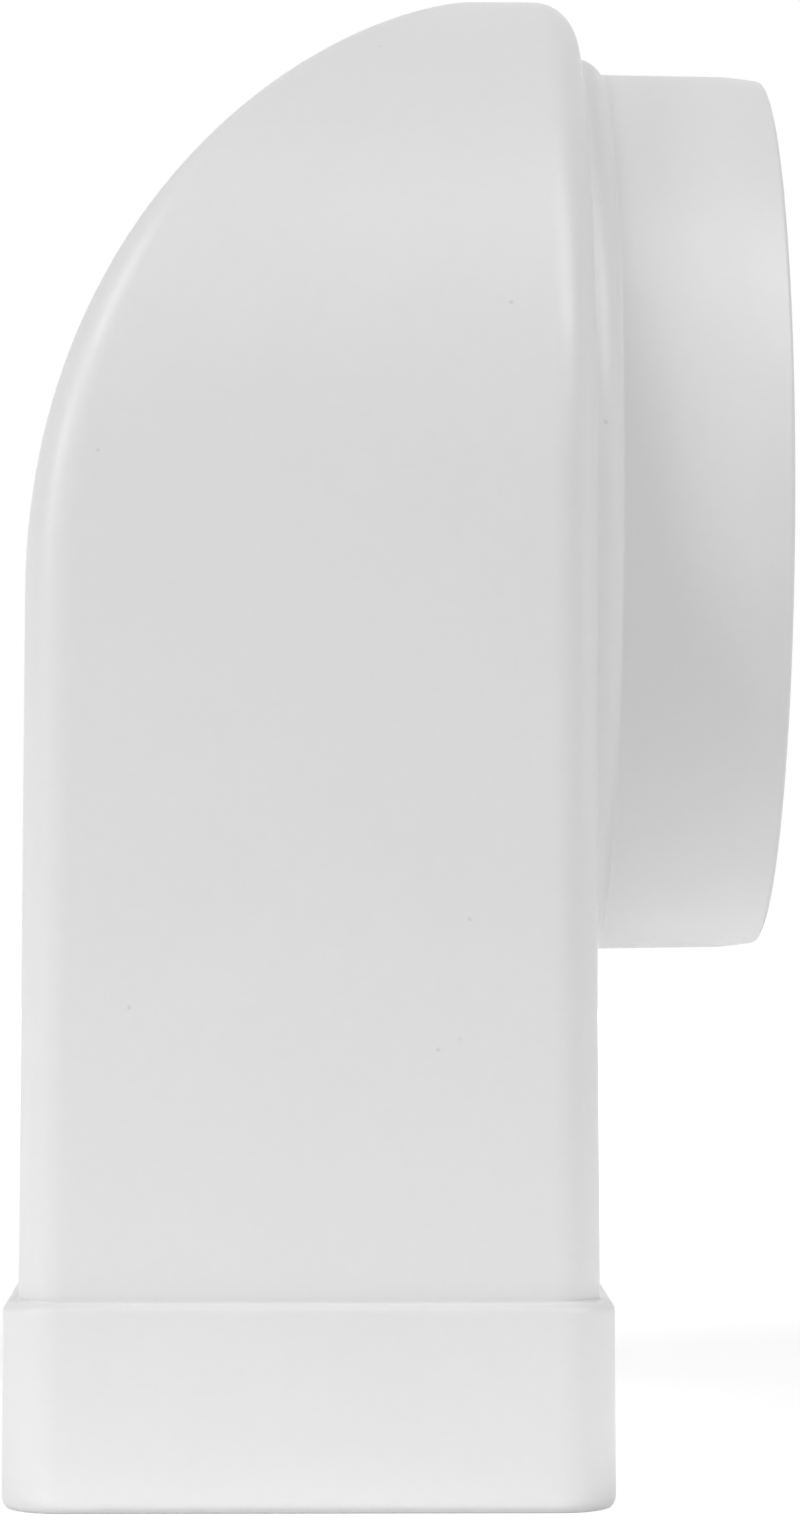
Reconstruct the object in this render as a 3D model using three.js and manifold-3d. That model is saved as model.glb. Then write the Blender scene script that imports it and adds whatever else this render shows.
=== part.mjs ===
// Duct elbow: turns the air of a flat rectangular duct through a right angle into a round one.
// Millimetres and degrees, +Z up. The rectangular socket opens downwards, and the round
// spigot points along +X. Sizes are laid out from the hood's flat front face (x = 0),
// its middle plane (y = 0) and the socket's mouth (z = 0).

import * as THREE from 'three';
import { mergeVertices } from 'three/addons/utils/BufferGeometryUtils.js';
import Module from 'manifold-3d';

// Rectangular duct that slides up into the socket
const ductDepth = 60; // along X
const ductWidth = 120; // along Y
const ductCornerRadius = 4.5;
const ductClearance = 0.35; // all round the duct

// Welded joints between the mouldings
const weldGap = 0.25; // all round, where one piece passes through another

// Socket collar
const collarWall = 1.4;
const collarHeight = 21.3;
const collarDraft = 0.35; // its outside leans in towards the top
const collarTopRound = 1.1;
const collarMouthRoundHeight = 1.4; // its rounded lower edge is taller than it is deep
const collarMouthRoundDepth = 0.7;
const collarLeadIn = 0.2; // chamfer that guides the duct in

// Hood
const hoodWall = 1.8;
const hoodLap = 3; // how far its lower edge goes down into the collar
const sideDraft = 1.33;
const backDraft = 0.35;
const frontDraft = 0.4; // only below the seating ring, whose seat stays upright
const frontLandHeight = 2.25; // upright stretch left below the seating ring
const frontEdgeRadius = 4.8;
const backEdgeRadius = 4.8;
const crownLength = 8.4; // flat top, from the front face to where it starts to curve down
const crownBlendRadius = 12; // first part of that curve, before the wider bend
const bendDrop = 11.5; // from the spigot's axis down to the bend's centre

// Round spigot
const spigotAxisHeight = 106;
const spigotLength = 21.1; // from the hood's front face
const spigotRootRadius = 50;
const spigotTaper = 0.3; // off its radius, from the hood's face to the rim
const spigotWall = 1.8;
const spigotLeadInLength = 4.5; // narrows a little more towards the rim
const spigotLeadInDepth = 0.38;
const spigotRimRound = 0.6;
const spigotBoreRound = 0.4;

// Seating ring round the spigot's root
const ringHeight = 1.75; // above the spigot's root, at the hood's face
const ringLength = 2.8;
const ringNose = 0.15; // its height at the far end, above its bore

// Smoothness
const archSteps = 32;
const roundSteps = 5;
const backSteps = 12;
const legBendSteps = 3;
const turnSteps = 72;
const edgeSteps = 4;

// Sizes that follow from the ones above
const ductPlay = ductClearance - weldGap;
const hoodBottom = collarHeight - hoodLap;
const hoodDepth = ductDepth + 2 * ductPlay;
const hoodHalfWidth = ductWidth / 2 + ductPlay;
const ringRadius = spigotRootRadius + ringHeight;
const frontLeanTop = spigotAxisHeight - ringRadius - frontLandHeight;
const hoodFront = rise(frontLeanTop - hoodBottom, frontDraft);
const hoodBack = hoodFront - hoodDepth;
const ductAxisX = (hoodFront + hoodBack) / 2;
const legHeight = spigotAxisHeight - hoodBottom;
const archRadius = hoodHalfWidth * cos(sideDraft) - legHeight * sin(sideDraft);
const crownHeight = spigotAxisHeight + archRadius;
const holeRadius = spigotRootRadius + weldGap;

// The bend's radius is the one that lets it leave the back wall level with its centre
// and run into the crown's blend: its rise and its reach fix the circle between them.
const bendHeight = spigotAxisHeight - bendDrop;
const bendWallX = hoodBack + rise(bendHeight - hoodBottom, backDraft);
const bendRise = crownHeight - crownBlendRadius - bendHeight;
const bendReach = -crownLength - crownBlendRadius - bendWallX;
const bendRadius = crownBlendRadius + (bendRise ** 2 + bendReach ** 2) / (2 * bendReach);
const bendX = bendWallX + bendRadius / cos(backDraft);

const wasm = await Module();
wasm.setup();

function sin(degrees) {
  return Math.sin(THREE.MathUtils.degToRad(degrees));
}

function cos(degrees) {
  return Math.cos(THREE.MathUtils.degToRad(degrees));
}

// Sideways travel of a drafted wall over a height
function rise(height, draft) {
  return height * Math.tan(THREE.MathUtils.degToRad(draft));
}

// Evenly spaced values from first to last, both included
function spread(first, last, steps) {
  return Array.from({ length: steps + 1 }, (_, i) => first + ((last - first) * i) / steps);
}

// Points of an arc about (x, y), from one angle to another in degrees
function arc(x, y, radius, from, to, steps) {
  return spread(from, to, steps).map((angle) => [x + radius * cos(angle), y + radius * sin(angle)]);
}

// Value between low and high where a rising function passes through zero
function crossing(rising, low, high) {
  for (let halving = 0; halving < 50; halving += 1) {
    const middle = (low + high) / 2;
    if (rising(middle) > 0) high = middle;
    else low = middle;
  }
  return (low + high) / 2;
}

// Mesh of quads between rows of points that all have the same length
function quadSkin(rows, joinRows) {
  const across = rows[0].length;
  const triangles = [];
  const rowPairs = joinRows ? rows.length : rows.length - 1;
  for (let i = 0; i < rowPairs; i += 1) {
    const here = i * across;
    const next = ((i + 1) % rows.length) * across;
    for (let j = 0; j < (joinRows ? across : across - 1); j += 1) {
      const beside = (j + 1) % across;
      triangles.push([here + j, next + j, next + beside]);
      triangles.push([here + j, next + beside, here + beside]);
    }
  }
  return { points: rows.flat(), triangles };
}

// Geometry from points and triangles, with shared points merged and flat slivers dropped
function closedGeometry({ points, triangles }) {
  const loose = new THREE.BufferGeometry();
  loose.setAttribute('position', new THREE.Float32BufferAttribute(points.flat(), 3));
  loose.setIndex(triangles.flat());
  return withoutSlivers(mergeVertices(loose));
}

function withoutSlivers(geometry) {
  const kept = [];
  const index = geometry.index.array;
  for (let i = 0; i < index.length; i += 3) {
    const [a, b, c] = index.slice(i, i + 3);
    if (a !== b && b !== c && c !== a) kept.push(a, b, c);
  }
  geometry.setIndex(kept);
  return geometry;
}

function toSolid(geometry) {
  const mesh = new wasm.Mesh({
    numProp: 3,
    vertProperties: new Float32Array(geometry.attributes.position.array),
    triVerts: new Uint32Array(geometry.index.array),
  });
  return new wasm.Manifold(mesh);
}

function toGeometry(solid) {
  const mesh = solid.getMesh();
  const geometry = new THREE.BufferGeometry();
  geometry.setAttribute('position', new THREE.BufferAttribute(mesh.vertProperties, 3));
  geometry.setIndex(new THREE.BufferAttribute(mesh.triVerts, 1));
  return geometry;
}

// Solid of revolution about the spigot's axis. The profile is a closed loop of
// [x, radius] that runs along the outside towards +X and comes back along the inside.
function turned(profile) {
  const loop = [...profile, profile[0]].map(([x, radius]) => new THREE.Vector2(radius, x));
  const geometry = new THREE.LatheGeometry(loop, turnSteps);
  geometry.deleteAttribute('normal');
  geometry.deleteAttribute('uv');
  geometry.rotateZ(-Math.PI / 2);
  geometry.translate(0, 0, spigotAxisHeight);
  return withoutSlivers(mergeVertices(geometry));
}

// ---- Hood ----

// Outline of the hood's back in the middle plane, set in from the outside by a wall's
// thickness: a drafted straight wall, then the bend, then a blend into the flat crown.
// Gives the back's x at a height, and how far its normal has tipped up from level.
function backOutline(inset) {
  const bend = { x: bendX, z: bendHeight, radius: bendRadius - inset };
  const blend = { x: -crownLength, z: crownHeight - crownBlendRadius, radius: crownBlendRadius - inset };
  const bendEnd = bend.z + (bend.radius * bendRise) / (bendRadius - crownBlendRadius);
  const bendStart = bend.z + bend.radius * sin(backDraft);

  const onArc = ({ x, z, radius }, height) => {
    const tip = Math.asin(Math.min((height - z) / radius, 1));
    return { x: x - radius * Math.cos(tip), tip };
  };
  return (height) => {
    if (height > bendEnd) return onArc(blend, height);
    if (height > bendStart) return onArc(bend, height);
    const outside = hoodBack + rise(height - hoodBottom, backDraft);
    return { x: outside + inset / cos(backDraft), tip: THREE.MathUtils.degToRad(backDraft) };
  };
}

// One half section of the hood, from the middle of its front round to the middle of its
// back, as [x, distance from the middle]. It lies in a plane that starts on the middle at
// height "foot" and leans up by "lean" degrees, and it is "reach" wide. The two corners
// are rounds that touch both of their neighbours.
function hoodSection({ front, foot, reach, lean }, inset, back) {
  const frontRound = frontEdgeRadius - inset;
  const backRound = backEdgeRadius - inset;
  const backAt = (out) => {
    const { x, tip } = back(foot + out * sin(lean));
    const backwards = Math.cos(tip);
    const outwards = Math.sin(tip) * sin(lean);
    const length = Math.hypot(backwards, outwards);
    return { x, backwards: backwards / length, outwards: outwards / length };
  };
  const centreOut = reach - backRound;
  const touch = crossing((out) => out - backRound * backAt(out).outwards - centreOut, centreOut, reach);
  const touching = backAt(touch);
  const centreX = touching.x + backRound * touching.backwards;
  const touchAngle = 180 - THREE.MathUtils.radToDeg(Math.asin(touching.outwards));

  const frontCorner = arc(front - frontRound, reach - frontRound, frontRound, 0, 90, roundSteps);
  const backCorner = arc(centreX, centreOut, backRound, 90, touchAngle, roundSteps);
  const backLine = spread(90, 0, backSteps).slice(1).map((angle) => {
    const out = touch * sin(angle);
    return [backAt(out).x, out];
  });
  return [[front, 0], ...frontCorner, ...backCorner, ...backLine];
}

// Stations up the near side of the straight leg, over the arch and down the far side
function hoodStations(inset, bottom) {
  const bendStart = bendHeight + bendRadius * sin(backDraft);
  const bendHeights = spread(bendStart, spigotAxisHeight, legBendSteps).slice(0, -1);
  const heights = [bottom, frontLeanTop, ...bendHeights];
  const leg = heights.map((height) => ({
    foot: height,
    front: rise(Math.max(frontLeanTop - height, 0), frontDraft) - inset,
    reach: hoodHalfWidth - rise(height - hoodBottom, sideDraft) - inset / cos(sideDraft),
    lean: 0,
  }));
  const arch = spread(sideDraft, 180 - sideDraft, archSteps).map((lean) => ({
    foot: spigotAxisHeight,
    front: -inset,
    reach: archRadius - inset,
    lean,
  }));
  const farLeg = leg.toReversed().map((station) => ({ ...station, lean: 180 }));
  return [...leg, ...arch, ...farLeg];
}

// Closed form of the hood, set in from its outside and running down to a height
function hoodForm(inset, bottom) {
  const back = backOutline(inset);
  const rows = hoodStations(inset, bottom).map((station) =>
    hoodSection(station, inset, back).map(([x, out]) => [
      x,
      -out * cos(station.lean),
      station.foot + out * sin(station.lean),
    ]),
  );
  const skin = quadSkin(rows, false);
  const rim = [...rows[0], ...rows.at(-1).toReversed()];
  const centre = skin.points.length + rim.length;
  rim.forEach((_, i) => {
    const start = skin.points.length;
    skin.triangles.push([centre, start + i, start + ((i + 1) % rim.length)]);
  });
  skin.points.push(...rim, [ductAxisX, 0, bottom]);
  return toSolid(closedGeometry(skin));
}

// A shell of even wall, open below, with a round hole in its front for the spigot
function makeHoodBody() {
  const cutPast = 5;
  const outside = hoodForm(0, hoodBottom);
  const inside = hoodForm(hoodWall, hoodBottom - cutPast);
  const hole = toSolid(
    turned([
      [-hoodWall - cutPast, 0],
      [-hoodWall - cutPast, holeRadius],
      [cutPast, holeRadius],
      [cutPast, 0],
    ]),
  );
  return toGeometry(outside.subtract(inside).subtract(hole));
}

// ---- Socket collar ----

// Rectangle with round corners about the duct's axis, counter-clockwise from above
function roundedRectangle(halfDepth, halfWidth, radius, height) {
  const corners = [
    [1, 1, 0],
    [-1, 1, 90],
    [-1, -1, 180],
    [1, -1, 270],
  ];
  return corners.flatMap(([sideX, sideY, from]) => {
    const x = ductAxisX + sideX * (halfDepth - radius);
    const y = sideY * (halfWidth - radius);
    return arc(x, y, radius, from, from + 90, roundSteps).map(([px, py]) => [px, py, height]);
  });
}

// A sleeve that the duct slides into and the hood's lower edge is welded into
function makeSocketCollar() {
  const ring = (out, height) =>
    roundedRectangle(
      ductDepth / 2 + ductClearance + out,
      ductWidth / 2 + ductClearance + out,
      ductCornerRadius + ductClearance + out,
      height,
    );
  const wallAt = (height) => collarWall - rise(height, collarDraft);
  const mouthEdge = spread(-90, 0, edgeSteps).map((angle) => [
    collarWall - collarMouthRoundDepth * (1 - cos(angle)),
    collarMouthRoundHeight * (1 + sin(angle)),
  ]);
  const topEdge = arc(
    wallAt(collarHeight) - collarTopRound,
    collarHeight - collarTopRound,
    collarTopRound,
    0,
    90,
    edgeSteps,
  );
  const outline = [...mouthEdge, ...topEdge, [0, collarHeight], [0, collarLeadIn], [collarLeadIn, 0]];
  const rows = outline.map(([out, height]) => ring(out, height).toReversed());
  return closedGeometry(quadSkin(rows, true));
}

// ---- Round spigot and its seating ring ----

// A slightly tapered tube that passes through the hood's front wall
function makeRoundSpigot() {
  const outsideAt = (x) => spigotRootRadius - (spigotTaper * Math.max(x, 0)) / spigotLength;
  const leadInStart = spigotLength - spigotLeadInLength;
  const rimEdge = arc(
    spigotLength - spigotRimRound,
    outsideAt(spigotLength) - spigotLeadInDepth - spigotRimRound,
    spigotRimRound,
    90,
    0,
    edgeSteps,
  );
  const boreAt = (x) => outsideAt(x) - spigotWall;
  return turned([
    [-hoodWall, spigotRootRadius],
    [0, spigotRootRadius],
    [leadInStart, outsideAt(leadInStart)],
    ...rimEdge,
    [spigotLength, boreAt(spigotLength) + spigotBoreRound],
    [spigotLength - spigotBoreRound, boreAt(spigotLength)],
    [0, boreAt(0)],
    [spigotBoreRound - hoodWall, boreAt(0)],
    [-hoodWall, boreAt(0) + spigotBoreRound],
  ]);
}

// A low crowned bead on the hood's front face, which the round duct's end meets
function makeSeatingRing() {
  const fall = ringRadius - holeRadius - ringNose;
  const crownRadius = (ringLength ** 2 + fall ** 2) / (2 * fall);
  const endTip = THREE.MathUtils.radToDeg(Math.asin(ringLength / crownRadius));
  const crown = arc(0, ringRadius - crownRadius, crownRadius, 90, 90 - endTip, roundSteps);
  return turned([...crown, [ringLength, holeRadius], [0, holeRadius]]);
}

// ---- Assembly ----

function part(name, geometry, material) {
  const mesh = new THREE.Mesh(geometry, material);
  mesh.name = name;
  return mesh;
}

const whitePlastic = () =>
  new THREE.MeshStandardMaterial({ color: 0xeaeaea, roughness: 0.42, metalness: 0 });

// The origin is below the middle of the whole fitting, level with the socket's mouth
const collarBack = ductAxisX - ductDepth / 2 - ductClearance - collarWall;
const middleX = (collarBack + spigotLength) / 2;

const group = new THREE.Group();
group.add(part('hood_body', makeHoodBody(), whitePlastic()));
group.add(part('socket_collar', makeSocketCollar(), whitePlastic()));
group.add(part('round_spigot', makeRoundSpigot(), whitePlastic()));
group.add(part('seating_ring', makeSeatingRing(), whitePlastic()));
group.position.x = -middleX;

export default group;
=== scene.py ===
import math

import bmesh
import bpy
from mathutils import Matrix, Vector


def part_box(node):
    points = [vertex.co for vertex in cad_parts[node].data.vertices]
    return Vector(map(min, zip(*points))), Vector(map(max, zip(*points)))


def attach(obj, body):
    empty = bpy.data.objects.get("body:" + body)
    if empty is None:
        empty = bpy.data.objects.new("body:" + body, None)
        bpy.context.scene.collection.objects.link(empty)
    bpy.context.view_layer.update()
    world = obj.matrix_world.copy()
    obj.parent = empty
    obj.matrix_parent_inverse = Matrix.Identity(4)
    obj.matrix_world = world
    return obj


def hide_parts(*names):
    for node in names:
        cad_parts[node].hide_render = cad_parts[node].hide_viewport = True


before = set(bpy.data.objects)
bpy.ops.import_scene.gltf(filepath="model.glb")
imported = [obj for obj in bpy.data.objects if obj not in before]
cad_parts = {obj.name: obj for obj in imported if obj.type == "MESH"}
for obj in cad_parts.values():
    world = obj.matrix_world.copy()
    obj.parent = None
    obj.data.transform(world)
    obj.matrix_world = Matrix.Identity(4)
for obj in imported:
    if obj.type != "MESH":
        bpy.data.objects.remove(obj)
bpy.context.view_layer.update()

# White plastic duct elbow: a rectangular socket below, a hood whose arch curves over to the back,
# and a round spigot towards +X. Metres and degrees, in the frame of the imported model.

MM = 0.001

# ---- Sizes that the frame gives ----

hood_low, hood_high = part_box("hood_body")
collar_low, collar_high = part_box("socket_collar")
spigot_low, spigot_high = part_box("round_spigot")
ring_low, ring_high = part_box("seating_ring")

FACE_X = ring_low.x  # the hood's flat front face
AXIS_Z = (ring_low.z + ring_high.z) / 2  # the spigot's axis
RING_RADIUS = (ring_high.z - ring_low.z) / 2
SPIGOT_ROOT_RADIUS = (spigot_high.z - spigot_low.z) / 2
SPIGOT_RIM_X = spigot_high.x
HOOD_BOTTOM = hood_low.z
HOOD_HALF_WIDTH = hood_high.y
HOOD_BACK = hood_low.x
CROWN_Z = hood_high.z
COLLAR_TOP = collar_high.z
COLLAR_HALF_DEPTH = (collar_high.x - collar_low.x) / 2
COLLAR_HALF_WIDTH = collar_high.y
DUCT_X = (collar_high.x + collar_low.x) / 2  # the rectangular duct's axis

# ---- Sizes of the forms ----

HOOD_WALL = 1.8 * MM
SIDE_DRAFT = 1.33
BACK_DRAFT = 0.35
FRONT_DRAFT = 0.4  # only below the seating ring
FRONT_LAND = 2.25 * MM  # upright stretch left below the seating ring
EDGE_RADIUS = 4.8 * MM
CROWN_LENGTH = 8.4 * MM  # flat top, from the front face to where it starts to curve down
CROWN_BLEND_RADIUS = 12 * MM
BEND_DROP = 11.5 * MM  # from the spigot's axis down to the bend's centre

COLLAR_WALL = 1.4 * MM
COLLAR_DRAFT = 0.35
COLLAR_TOP_ROUND = 1.1 * MM
COLLAR_MOUTH_ROUND_HEIGHT = 1.4 * MM
COLLAR_MOUTH_ROUND_DEPTH = 0.7 * MM
COLLAR_LEAD_IN = 0.2 * MM
BORE_CORNER_RADIUS = 4.85 * MM
WELD_FILLET = 0.3 * MM  # where the collar's ledge meets the hood
WELD_GROOVE = 0.15 * MM  # inside, between the collar and the hood's rim
WELD_PLAY = 0.25 * MM  # between the collar's bore and the hood, filled by the weld

SPIGOT_TAPER = 0.3 * MM  # off its radius, from the hood's face to the rim
SPIGOT_WALL = 1.8 * MM
SPIGOT_LEAD_IN_LENGTH = 4.5 * MM
SPIGOT_LEAD_IN_DEPTH = 0.38 * MM
SPIGOT_LEAD_IN_CURVE = 1.3  # 1 is a straight cone, more narrows late
SPIGOT_RIM_ROUND = 0.6 * MM
SPIGOT_BORE_ROUND = 0.4 * MM
RING_LENGTH = 2.8 * MM
RING_FALL = 1.6 * MM
RING_FILLET = 0.4 * MM
EMBED = 0.1 * MM  # how far a welded piece reaches into its neighbour

# ---- Smoothness ----

ARCH_STEPS = 96
LEG_STEPS = 24
ROUND_STEPS = 12
SIDE_STEPS = 10
BACK_STEPS = 40
SILL_STEPS = 26
PLATE_STEPS = 8
TURN_STEPS = 240
TUBE_STEPS = 6
LEAD_IN_STEPS = 10
SMALL_ROUND_STEPS = 6
WELD_FILLET_STEPS = 4
FLOOR_STEPS = 96
HALVINGS = 50  # of the stretch in which a crossing is looked for
SHARP_ANGLE = 38
SAME_POINT = 0.002 * MM  # points nearer than this are one
SHORTEST_EDGE = 0.001 * MM

# ---- Sizes that follow ----

ARCH_RADIUS = CROWN_Z - AXIS_Z
HOOD_LEG = AXIS_Z - HOOD_BOTTOM
LEAN_TOP = AXIS_Z - RING_RADIUS - FRONT_LAND
CROWN_X = FACE_X - CROWN_LENGTH
BEND_Z = AXIS_Z - BEND_DROP
BEND_WALL_X = HOOD_BACK + (BEND_Z - HOOD_BOTTOM) * math.tan(math.radians(BACK_DRAFT))
BEND_RISE = CROWN_Z - CROWN_BLEND_RADIUS - BEND_Z
BEND_REACH = CROWN_X - CROWN_BLEND_RADIUS - BEND_WALL_X
BEND_RADIUS = CROWN_BLEND_RADIUS + (BEND_RISE**2 + BEND_REACH**2) / (2 * BEND_REACH)
BEND_X = BEND_WALL_X + BEND_RADIUS / math.cos(math.radians(BACK_DRAFT))
BORE_HALF_DEPTH = COLLAR_HALF_DEPTH - COLLAR_WALL
BORE_HALF_WIDTH = COLLAR_HALF_WIDTH - COLLAR_WALL


def sin(degrees):
    return math.sin(math.radians(degrees))


def cos(degrees):
    return math.cos(math.radians(degrees))


def rise(height, draft):
    """Sideways travel of a drafted wall over a height."""
    return height * math.tan(math.radians(draft))


def spread(first, last, steps):
    """Evenly spaced values from first to last, both included."""
    return [first + (last - first) * i / steps for i in range(steps + 1)]


def arc(x, y, radius, start, end, steps):
    """Points of an arc about (x, y), from one angle to another."""
    return [(x + radius * cos(a), y + radius * sin(a)) for a in spread(start, end, steps)]


def crossing(rising, low, high):
    """Value between low and high where a rising function passes through zero."""
    for _ in range(HALVINGS):
        middle = (low + high) / 2
        if rising(middle) > 0:
            high = middle
        else:
            low = middle
    return (low + high) / 2


# ---- Meshes ----


def quads_between(rows, closed_rows=False, closed_columns=False):
    """Quads between rows of vertices that all have the same length."""
    across = len(rows[0])
    quads = []
    for i in range(len(rows) if closed_rows else len(rows) - 1):
        here, following = rows[i], rows[(i + 1) % len(rows)]
        for j in range(across if closed_columns else across - 1):
            beside = (j + 1) % across
            quads.append((here[j], following[j], following[beside], here[beside]))
    return quads


def smooth_piece(name, build):
    """An object whose mesh is made by build(bm), with its shared points merged."""
    bm = bmesh.new()
    build(bm)
    bmesh.ops.remove_doubles(bm, verts=bm.verts, dist=SAME_POINT)
    bmesh.ops.dissolve_degenerate(bm, edges=bm.edges, dist=SHORTEST_EDGE)
    bmesh.ops.recalc_face_normals(bm, faces=bm.faces)
    for face in bm.faces:
        face.smooth = True
    for edge in bm.edges:
        edge.smooth = edge.calc_face_angle(0) < math.radians(SHARP_ANGLE)
    mesh = bpy.data.meshes.new(name)
    bm.to_mesh(mesh)
    bm.free()
    piece = bpy.data.objects.new(name, mesh)
    bpy.context.scene.collection.objects.link(piece)
    weighted = piece.modifiers.new("even_shading", "WEIGHTED_NORMAL")
    weighted.mode = "FACE_AREA"
    weighted.keep_sharp = True
    return piece


def add_grid(bm, rows, **closed):
    """Rows of points joined by quads. Quads whose points fall together become triangles."""
    made = [[bm.verts.new(point) for point in row] for row in rows]
    for quad in quads_between(made, **closed):
        corners = []
        for vert in quad:
            if all((vert.co - other.co).length > SAME_POINT for other in corners):
                corners.append(vert)
        if len(corners) > 2:
            bm.faces.new(corners)


def turned(name, profile):
    """A solid of revolution about the spigot's axis, from a closed loop of (x, radius)."""

    def build(bm):
        rows = []
        for angle in spread(0, 360, TURN_STEPS)[:-1]:
            rows.append([(x, r * cos(angle), AXIS_Z + r * sin(angle)) for x, r in profile])
        add_grid(bm, rows, closed_rows=True, closed_columns=True)

    return smooth_piece(name, build)


# ---- Hood ----


def front_x(height):
    """The hood's front face, which leans out a little below the seating ring."""
    return FACE_X + rise(max(LEAN_TOP - height, 0), FRONT_DRAFT)


def back_outline(inset):
    """Gives a function of height: the back's x, and how far its normal tips up, in radians."""
    bend_radius = BEND_RADIUS - inset
    blend_radius = CROWN_BLEND_RADIUS - inset
    bend_start = BEND_Z + bend_radius * sin(BACK_DRAFT)
    bend_end = BEND_Z + bend_radius * BEND_RISE / (BEND_RADIUS - CROWN_BLEND_RADIUS)

    def on_arc(x, z, radius, height):
        tip = math.asin(min((height - z) / radius, 1))
        return x - radius * math.cos(tip), tip

    def back(height):
        if height > bend_end:
            return on_arc(CROWN_X, CROWN_Z - CROWN_BLEND_RADIUS, blend_radius, height)
        if height > bend_start:
            return on_arc(BEND_X, BEND_Z, bend_radius, height)
        outside = HOOD_BACK + rise(height - HOOD_BOTTOM, BACK_DRAFT)
        return outside + inset / cos(BACK_DRAFT), math.radians(BACK_DRAFT)

    return back


def hood_section(station, inset, back):
    """Half a section of the hood, from its front edge's round to the middle of its back.

    A station is (foot, lean, reach): its plane starts on the middle at height foot and leans
    up by lean degrees, and the section is reach wide. Gives (x, distance from the middle).
    """
    foot, lean, reach = station
    front = front_x(foot) - inset
    radius = EDGE_RADIUS - inset

    def back_at(out):
        x, tip = back(foot + out * sin(lean))
        backwards, outwards = math.cos(tip), math.sin(tip) * sin(lean)
        length = math.hypot(backwards, outwards)
        return x, backwards / length, outwards / length

    centre_out = reach - radius
    touch = crossing(lambda out: out - radius * back_at(out)[2] - centre_out, centre_out, reach)
    touch_x, backwards, outwards = back_at(touch)
    centre_x = touch_x + radius * backwards
    touch_angle = 180 - math.degrees(math.asin(outwards))

    front_round = arc(front - radius, centre_out, radius, 0, 90, ROUND_STEPS)
    side = [(x, reach) for x in spread(front - radius, centre_x, SIDE_STEPS)[1:-1]]
    back_round = arc(centre_x, centre_out, radius, 90, touch_angle, ROUND_STEPS)
    outs = [touch * sin(angle) for angle in spread(90, 0, BACK_STEPS)[1:]]
    return front_round + side + back_round + [(back_at(out)[0], out) for out in outs]


def leg_heights():
    """Heights up the straight leg, closer together level with the spigot's hole."""
    steepest = math.degrees(math.atan2(HOOD_LEG, ARCH_RADIUS))
    slopes = [math.tan(math.radians(angle)) for angle in spread(steepest, 0, LEG_STEPS)]
    return [AXIS_Z - ARCH_RADIUS * slope for slope in slopes]


def leg_station(height, inset):
    reach = HOOD_HALF_WIDTH - rise(height - HOOD_BOTTOM, SIDE_DRAFT) - inset / cos(SIDE_DRAFT)
    return height, 0, reach


def placed(section, foot, lean, side=1):
    """A half section's points in space; side -1 is its mirror image beyond the middle plane."""
    return [(x, -side * out * cos(lean), foot + out * sin(lean)) for x, out in section]


def hood_rows(inset):
    """Sections up the near side of the leg, over the arch and down the far side."""
    back = back_outline(inset)
    near = [leg_station(height, inset) for height in leg_heights()[:-1]]
    leans = spread(SIDE_DRAFT, 180 - SIDE_DRAFT, ARCH_STEPS)
    over = [(AXIS_Z, lean, ARCH_RADIUS - inset) for lean in leans]
    far = [(foot, 180, reach) for foot, _, reach in reversed(near)]
    rows = []
    for station in near + over + far:
        foot, lean, _ = station
        rows.append(placed(hood_section(station, inset, back), foot, lean))
    return rows


def sill(inset, height, half_width):
    """Points along the lower edge of the front face, from its far end to its near end."""
    x = front_x(height) - inset
    return [(x, y, height) for y in spread(half_width, -half_width, SILL_STEPS)]


def front_plate(rows, inset, hole_radius):
    """The front face, as rows that run from the round hole out to the edge's round."""
    outline = [row[0] for row in rows]
    outline += sill(inset, HOOD_BOTTOM, outline[-1][1])[1:-1]
    plate = []
    for share in spread(0, 1, PLATE_STEPS):
        ring = []
        for _, y, z in outline:
            outwards = Vector((y, z - AXIS_Z))
            at = outwards.normalized() * hole_radius * (1 - share) + outwards * share
            ring.append((front_x(AXIS_Z + at.y) - inset, at.x, AXIS_Z + at.y))
        plate.append(ring)
    return plate


def rim_loop(inset, height):
    """The hood's level outline at a height near its lower edge."""
    back = back_outline(inset)
    station = leg_station(height, inset)
    section = hood_section(station, inset, back)
    near = placed(section, height, 0)
    far = placed(section, height, 0, side=-1)
    return near + far[::-1][1:] + sill(inset, height, far[0][1])[1:-1]


def make_hood_shell():
    """A shell of even wall with rolled edges, open below, and a round hole in its front."""
    hole_radius = SPIGOT_ROOT_RADIUS - EMBED

    def build(bm):
        outer, inner = hood_rows(0), hood_rows(HOOD_WALL)
        outer_plate = front_plate(outer, 0, hole_radius)
        inner_plate = front_plate(inner, HOOD_WALL, hole_radius)
        add_grid(bm, outer)
        add_grid(bm, inner)
        add_grid(bm, outer_plate, closed_columns=True)
        add_grid(bm, inner_plate, closed_columns=True)
        add_grid(bm, [outer_plate[0], inner_plate[0]], closed_columns=True)
        rim = [rim_loop(0, HOOD_BOTTOM), rim_loop(HOOD_WALL, HOOD_BOTTOM)]
        add_grid(bm, rim, closed_columns=True)

    return smooth_piece("hood_shell", build)


# ---- Socket collar ----


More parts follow.
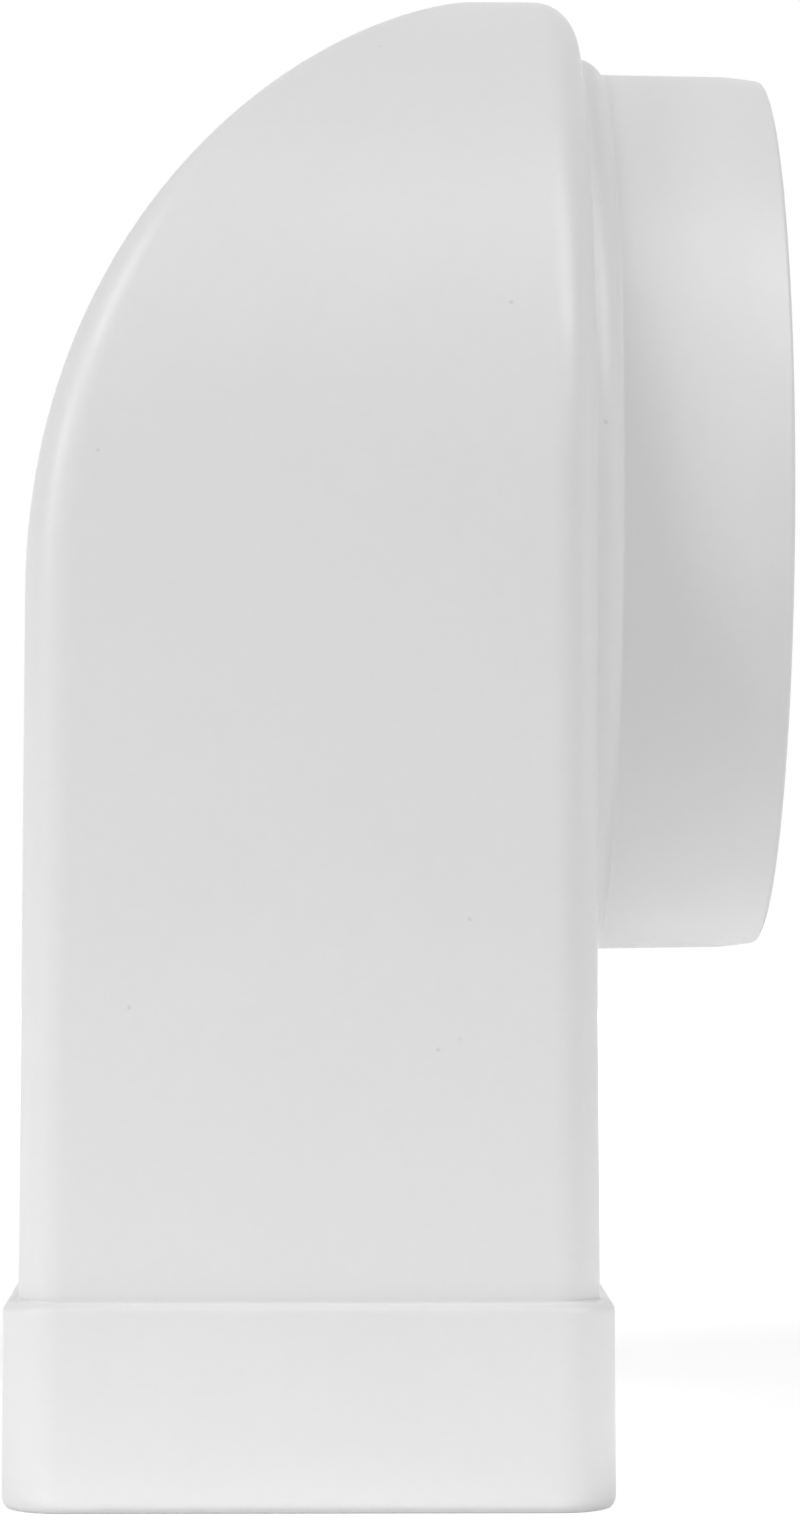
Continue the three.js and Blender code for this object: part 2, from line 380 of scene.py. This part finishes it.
def make_socket_sleeve():
    """The sleeve below, with its rounded edges and the weld that joins it to the hood."""

    def ring(out, height):
        """Rounded rectangle, out from the bore's face, counter-clockwise from above."""
        radius = BORE_CORNER_RADIUS + out
        points = []
        for side_x, side_y, start in ((1, 1, 0), (-1, 1, 90), (-1, -1, 180), (1, -1, 270)):
            x = DUCT_X + side_x * (BORE_HALF_DEPTH + out - radius)
            y = side_y * (BORE_HALF_WIDTH + out - radius)
            points += arc(x, y, radius, start, start + 90, ROUND_STEPS)
        return [(x, y, height) for x, y in points]

    outside_top = COLLAR_WALL - rise(COLLAR_TOP, COLLAR_DRAFT)
    mouth_round = [
        (
            COLLAR_WALL - COLLAR_MOUTH_ROUND_DEPTH * (1 - cos(angle)),
            COLLAR_MOUTH_ROUND_HEIGHT * (1 + sin(angle)),
        )
        for angle in spread(-90, 0, ROUND_STEPS)
    ]
    top_centre = (outside_top - COLLAR_TOP_ROUND, COLLAR_TOP - COLLAR_TOP_ROUND)
    top_round = arc(*top_centre, COLLAR_TOP_ROUND, 0, 90, ROUND_STEPS)
    inner = -WELD_PLAY - EMBED
    weld_top = COLLAR_TOP + WELD_FILLET
    fillet = arc(WELD_FILLET - WELD_PLAY, weld_top, WELD_FILLET, 270, 180, WELD_FILLET_STEPS)
    outline = mouth_round + top_round + fillet
    outline += [(inner, weld_top), (inner, HOOD_BOTTOM + WELD_GROOVE)]
    outline += [(0, HOOD_BOTTOM + WELD_GROOVE), (0, COLLAR_LEAD_IN), (COLLAR_LEAD_IN, 0)]

    def build(bm):
        add_grid(bm, [ring(*at) for at in outline], closed_rows=True, closed_columns=True)

    return smooth_piece("socket_sleeve", build)


# ---- Round spigot and its seating ring ----


def spigot_radius(x):
    """Outside radius of the spigot, x from the hood's face."""
    return SPIGOT_ROOT_RADIUS - SPIGOT_TAPER * max(x, 0) / (SPIGOT_RIM_X - FACE_X)


def make_spigot_tube():
    """An open tube with a slight taper, a narrowing lead-in and rounded rims."""
    length = SPIGOT_RIM_X - FACE_X
    inner_end = EMBED - HOOD_WALL
    rim = spigot_radius(length)
    bore = rim - SPIGOT_WALL
    root_bore = spigot_radius(0) - SPIGOT_WALL

    lead_in = length - SPIGOT_LEAD_IN_LENGTH
    round_x, rim_outside = length - SPIGOT_RIM_ROUND, rim - SPIGOT_LEAD_IN_DEPTH
    outside = [(inner_end, SPIGOT_ROOT_RADIUS)]
    outside += [(x, spigot_radius(x)) for x in spread(0, lead_in, TUBE_STEPS)]
    for share in spread(0, 1, LEAD_IN_STEPS)[1:-1]:
        narrowing = (spigot_radius(lead_in) - rim_outside) * share**SPIGOT_LEAD_IN_CURVE
        outside.append((lead_in + (round_x - lead_in) * share, spigot_radius(lead_in) - narrowing))
    rim_round = arc(round_x, rim_outside - SPIGOT_RIM_ROUND, SPIGOT_RIM_ROUND, 90, 0, ROUND_STEPS)

    def bore_edge(x, radius, start, end):
        centre_radius = radius + SPIGOT_BORE_ROUND
        return arc(x, centre_radius, SPIGOT_BORE_ROUND, start, end, SMALL_ROUND_STEPS)

    bore_round = bore_edge(length - SPIGOT_BORE_ROUND, bore, 0, -90)
    shares = spread(1, 0, TUBE_STEPS)[1:]
    inside = [(length * share, bore + (root_bore - bore) * (1 - share)) for share in shares]
    root_round = bore_edge(inner_end + SPIGOT_BORE_ROUND, root_bore, 270, 180)
    profile = outside + rim_round + bore_round + inside + root_round
    return turned("spigot_tube", [(FACE_X + x, radius) for x, radius in profile])


def make_ring_bead():
    """A low crowned bead against the hood's face, which runs out into the tube in a fillet."""
    crown_radius = (RING_LENGTH**2 + RING_FALL**2) / (2 * RING_FALL)
    crown_centre = RING_RADIUS - crown_radius
    fillet_centre = spigot_radius(RING_LENGTH + RING_FILLET) + RING_FILLET
    fillet_x = math.sqrt((crown_radius + RING_FILLET) ** 2 - (fillet_centre - crown_centre) ** 2)
    meeting = math.degrees(math.atan2(fillet_centre - crown_centre, fillet_x))
    crown = arc(0, crown_centre, crown_radius, 90, meeting, ROUND_STEPS)
    fillet = arc(fillet_x, fillet_centre, RING_FILLET, 180 + meeting, 270, ROUND_STEPS)
    bore = SPIGOT_ROOT_RADIUS - 2 * EMBED
    back = [(0, bore), (-EMBED, bore), (-EMBED, RING_RADIUS)]
    profile = back + crown + fillet[1:] + [(fillet_x, bore)]
    return turned("ring_bead", [(FACE_X + x, radius) for x, radius in profile])


# ---- Materials ----

PLASTIC_WHITE = 0.82
PLASTIC_ROUGHNESS = 0.38
PLASTIC_IOR = 1.49

# Sizes and heights of the surface's patterns, in mm, and how far they change its tone or roughness
GRAIN_SIZE, GRAIN_HEIGHT = 0.4, 0.003
PEEL_SIZE, PEEL_HEIGHT = 2.6, 0.006
SINK_SIZE, SINK_HEIGHT = 34, 0.1
CLOUD_SIZE, CLOUD_CHANGE = 16, 0.005
MARBLE_SIZE, MARBLE_CHANGE = 1.3, 0.006
SPECK_SPACING, SPECK_RADIUS, SPECK_DARKNESS = 9.5, 0.3, 0.14
SPECK_CORE = 0.4  # share of its radius that is fully dark
SPECK_RIPPLES, SPECK_RIPPLE_REACH = 3.0, 0.25  # of its edge: per mm, and in mm
SHINE_SIZE, SHINE_CHANGE = 7, 0.05
SCUFF_LENGTH, SCUFF_WIDTH, SCUFF_CHANGE = 22, 0.7, 0.07
SCUFF_TILT = (0.06, 0.04, 0)  # radians
PATTERN_SHIFT = 300  # from one piece to the next

# What a noise texture's values mostly lie between, and where a scuff starts and is full
NOISE_LOW, NOISE_HIGH = 0.3, 0.7
SCUFF_START, SCUFF_FULL = 0.62, 0.74


def node(tree, kind, inputs=None, **settings):
    """A new node with its settings, and each input set to a value or linked to a socket."""
    made = tree.nodes.new("ShaderNode" + kind)
    for name, value in settings.items():
        setattr(made, name, value)
    for name, value in (inputs or {}).items():
        if isinstance(value, bpy.types.NodeSocket):
            tree.links.new(value, made.inputs[name])
        else:
            made.inputs[name].default_value = value
    return made


def noise(tree, place, size, detail, roughness=0.5):
    inputs = {"Vector": place, "Scale": 1 / size, "Detail": detail, "Roughness": roughness}
    return node(tree, "TexNoise", inputs).outputs["Fac"]


def ranged(tree, value, low, high, new_low, new_high):
    """A value's stretch from low to high, spread from new_low to new_high and held there."""
    inputs = {"Value": value, "From Min": low, "From Max": high}
    inputs |= {"To Min": new_low, "To Max": new_high}
    return node(tree, "MapRange", inputs).outputs["Result"]


def wavering(tree, texture, middle, change):
    """A noise texture's value, spread evenly about a middle."""
    return ranged(tree, texture, NOISE_LOW, NOISE_HIGH, middle - change, middle + change)


def reckon(tree, operation, first, second):
    return node(tree, "Math", {0: first, 1: second}, operation=operation).outputs[0]


def white_plastic(name, shift):
    """Satin white moulded plastic: faintly clouded, with a fine grain and a few dark specks."""
    material = bpy.data.materials.new(name)
    material.use_nodes = True
    tree = material.node_tree
    shader = tree.nodes["Principled BSDF"]
    metres = node(tree, "TexCoord").outputs["Object"]
    to_mm = {"Vector": metres, "Location": (shift, 0, 0), "Scale": (1 / MM, 1 / MM, 1 / MM)}
    place = node(tree, "Mapping", to_mm).outputs[0]

    cloud = wavering(tree, noise(tree, place, CLOUD_SIZE, detail=3), 1, CLOUD_CHANGE)
    marble = wavering(tree, noise(tree, place, MARBLE_SIZE, detail=4), 1, MARBLE_CHANGE)
    ripples = node(tree, "TexNoise", {"Vector": place, "Scale": SPECK_RIPPLES, "Detail": 1.0})
    push = {0: ripples.outputs["Color"], 1: (SPECK_RIPPLE_REACH,) * 3, 2: place}
    ragged = node(tree, "VectorMath", push, operation="MULTIPLY_ADD").outputs[0]
    cells = node(tree, "TexVoronoi", {"Vector": ragged, "Scale": 1 / SPECK_SPACING})
    reach = SPECK_RADIUS / SPECK_SPACING
    distance = cells.outputs["Distance"]
    speck = ranged(tree, distance, SPECK_CORE * reach, reach, 1 - SPECK_DARKNESS, 1)
    tone = reckon(tree, "MULTIPLY", reckon(tree, "MULTIPLY", cloud, marble), speck)
    white = reckon(tree, "MULTIPLY", tone, PLASTIC_WHITE)
    colour = node(tree, "CombineColor", {"Red": white, "Green": white, "Blue": white})

    stretch = {"Vector": place, "Scale": (1 / SCUFF_WIDTH, 1 / SCUFF_WIDTH, 1 / SCUFF_LENGTH)}
    stretch["Rotation"] = SCUFF_TILT
    streaks = noise(tree, node(tree, "Mapping", stretch).outputs[0], 1, detail=2)
    scuff = ranged(tree, streaks, SCUFF_START, SCUFF_FULL, 0, SCUFF_CHANGE)
    shine = wavering(tree, noise(tree, place, SHINE_SIZE, detail=4, roughness=0.6), 0, SHINE_CHANGE)
    gloss = reckon(tree, "ADD", reckon(tree, "ADD", scuff, shine), PLASTIC_ROUGHNESS)

    relief = reckon(tree, "MULTIPLY", noise(tree, place, GRAIN_SIZE, detail=1), GRAIN_HEIGHT)
    for size, height in ((PEEL_SIZE, PEEL_HEIGHT), (SINK_SIZE, SINK_HEIGHT)):
        wave = reckon(tree, "MULTIPLY", noise(tree, place, size, detail=0), height)
        relief = reckon(tree, "ADD", relief, wave)
    bumped = node(tree, "Bump", {"Height": relief, "Distance": MM, "Strength": 1.0})

    tree.links.new(colour.outputs[0], shader.inputs["Base Color"])
    tree.links.new(gloss, shader.inputs["Roughness"])
    tree.links.new(bumped.outputs[0], shader.inputs["Normal"])
    shader.inputs["IOR"].default_value = PLASTIC_IOR
    return material


# ---- Stage, lamps and camera ----

STAGE_REACH = 3.0
FLOOR_COLOUR = (0.92, 0.92, 0.92, 1)  # what it throws back at the object
FLOOR_SHADED = (0.45, 0.45, 0.45, 1)  # what the camera sees of the light and the shadow on it
FLOOR_GLOW = 0.72  # added to that near the object, and 1 far from it
FLOOR_GLOW_FADE = (0.15, 0.7)  # from the one to the other, in m from the middle
AMBIENT = 0.03


def backdrop(tree, lit, white):
    """A shader that is white where the camera sees it, also in gloss or glass, and else lit."""
    path = node(tree, "LightPath").outputs
    seen = reckon(tree, "MAXIMUM", path["Is Camera Ray"], path["Is Glossy Ray"])
    seen = reckon(tree, "MAXIMUM", seen, path["Is Transmission Ray"])
    return node(tree, "MixShader", {0: seen, 1: lit.outputs[0], 2: white.outputs[0]}).outputs[0]


def make_floor():
    """A pale floor that reads white, with the object's shadow kept."""
    bm = bmesh.new()
    bmesh.ops.create_circle(bm, cap_ends=True, segments=FLOOR_STEPS, radius=STAGE_REACH)
    mesh = bpy.data.meshes.new("floor")
    bm.to_mesh(mesh)
    bm.free()
    floor = bpy.data.objects.new("floor", mesh)
    bpy.context.scene.collection.objects.link(floor)
    material = bpy.data.materials.new("pale_floor")
    material.use_nodes = True
    tree = material.node_tree
    tree.nodes.clear()
    lit = node(tree, "BsdfDiffuse", {"Color": FLOOR_COLOUR})
    shaded = node(tree, "BsdfDiffuse", {"Color": FLOOR_SHADED})
    place = node(tree, "TexCoord").outputs["Object"]
    away = node(tree, "VectorMath", {0: place}, operation="LENGTH").outputs["Value"]
    strength = ranged(tree, away, *FLOOR_GLOW_FADE, FLOOR_GLOW, 1)
    glow = node(tree, "Emission", {"Strength": strength})
    white = node(tree, "AddShader", {0: shaded.outputs[0], 1: glow.outputs[0]})
    node(tree, "OutputMaterial", {"Surface": backdrop(tree, lit, white)})
    mesh.materials.append(material)


def make_world():
    """Even soft light all round, which reads white behind the object."""
    world = bpy.data.worlds.new("studio")
    world.use_nodes = True
    tree = world.node_tree
    tree.nodes.clear()
    ambient = node(tree, "Background", {"Color": (1, 1, 1, 1), "Strength": AMBIENT})
    white = node(tree, "Background", {"Color": (1, 1, 1, 1), "Strength": 1.0})
    node(tree, "OutputWorld", {"Surface": backdrop(tree, ambient, white)})
    bpy.context.scene.world = world


def panel(name, centre, turn, width, height, power):
    """A soft rectangular lamp that the camera doesn't see."""
    lamp = bpy.data.lights.new(name, "AREA")
    lamp.shape = "RECTANGLE"
    lamp.size = width
    lamp.size_y = height
    lamp.energy = power
    holder = bpy.data.objects.new(name, lamp)
    holder.location = centre
    holder.rotation_euler = turn
    holder.visible_camera = False
    bpy.context.scene.collection.objects.link(holder)
    return holder


def softbox(name, azimuth, elevation, distance, size, power, glint):
    """A square lamp that faces the object. Azimuth 0 is in front (-Y), 90 is towards +X."""
    away = cos(elevation)
    towards = Vector((sin(azimuth) * away, -cos(azimuth) * away, sin(elevation)))
    centre = Vector((0, 0, CROWN_Z / 2)) + towards * distance
    lamp = panel(name, centre, towards.to_track_quat("Z", "Y").to_euler(), size, size, power)
    lamp.visible_glossy = glint


# name, azimuth, elevation, distance (m), side (m), power (W), whether it glints in the plastic
SOFTBOXES = (
    ("key_left", -60, 20, 1.2, 0.35, 2.95, True),
    ("key_high", -55, 50, 1.2, 0.35, 3.4, True),
    ("fill_right", 50, 40, 1.2, 0.55, 4.45, True),
    ("fill_high", 40, 60, 1.2, 0.55, 2.3, True),
    ("side_right", 90, 10, 1.2, 0.55, 0.7, True),
    ("back", 180, 12, 1.2, 0.55, 5.2, False),
)
# Low upright screens round the table: name, x, y (m), width (m), power (W)
SCREENS = (
    ("screen_left", -0.35, -0.05, 0.5, 0.112),
    ("screen_corner", -0.25, -0.28, 0.4, 0.092),
)
SCREEN_HEIGHT = 0.08
# Light thrown up by the bright table: name, x and y from and to (m), power (W)
TABLE_GLOWS = (
    ("table_front", -0.12, 0.12, -0.15, -0.062, 0.0222),
    ("table_right", 0.032, 0.07, -0.09, 0.09, 0.0102),
    ("table_left", -0.12, -0.032, -0.12, 0.12, 0.0044),
)
TABLE_GLOW_Z = 0.4 * MM


def make_lamps():
    for settings in SOFTBOXES:
        softbox(*settings)
    for name, x, y, width, power in SCREENS:
        centre = (x, y, SCREEN_HEIGHT / 2)
        panel(name, centre, (math.pi / 2, 0, math.atan2(x, -y)), width, SCREEN_HEIGHT, power)
    for name, x_from, x_to, y_from, y_to, power in TABLE_GLOWS:
        centre = ((x_from + x_to) / 2, (y_from + y_to) / 2, TABLE_GLOW_Z)
        panel(name, centre, (math.pi, 0, 0), x_to - x_from, y_to - y_from, power)


# The photo's camera, worked out from the object's outline
CAMERA_TARGET = Vector((0.764, 0, 77.77)) * MM
CAMERA_DISTANCE = 567.1 * MM
CAMERA_YAW = 1.12
CAMERA_PITCH = -0.57
CAMERA_ROLL = 0.075
SENSOR = 36  # mm, the longer side
FOCAL_LENGTH = 117.16


def make_camera():
    data = bpy.data.cameras.new("camera")
    data.sensor_width = SENSOR
    data.lens = FOCAL_LENGTH
    camera = bpy.data.objects.new("camera", data)
    ahead = cos(CAMERA_PITCH)
    forward = Vector((ahead * sin(CAMERA_YAW), ahead * cos(CAMERA_YAW), -sin(CAMERA_PITCH)))
    level = Vector((cos(CAMERA_YAW), -sin(CAMERA_YAW), 0))
    upright = level.cross(forward)
    right = level * cos(CAMERA_ROLL) + upright * sin(CAMERA_ROLL)
    up = upright * cos(CAMERA_ROLL) - level * sin(CAMERA_ROLL)
    turn = Matrix((right, up, -forward)).transposed().to_4x4()
    camera.matrix_world = Matrix.Translation(CAMERA_TARGET - forward * CAMERA_DISTANCE) @ turn
    bpy.context.scene.collection.objects.link(camera)
    bpy.context.scene.camera = camera


# ---- The scene ----

make_camera()
make_floor()
make_world()
make_lamps()

PIECES = {
    "hood_body": make_hood_shell,
    "socket_collar": make_socket_sleeve,
    "round_spigot": make_spigot_tube,
    "seating_ring": make_ring_bead,
}
for order, (cad_node, make) in enumerate(PIECES.items()):
    piece = make()
    piece.data.materials.append(white_plastic(cad_node + "_plastic", order * PATTERN_SHIFT))
    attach(piece, "root")
    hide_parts(cad_node)

bpy.context.scene.view_settings.view_transform = "Standard"
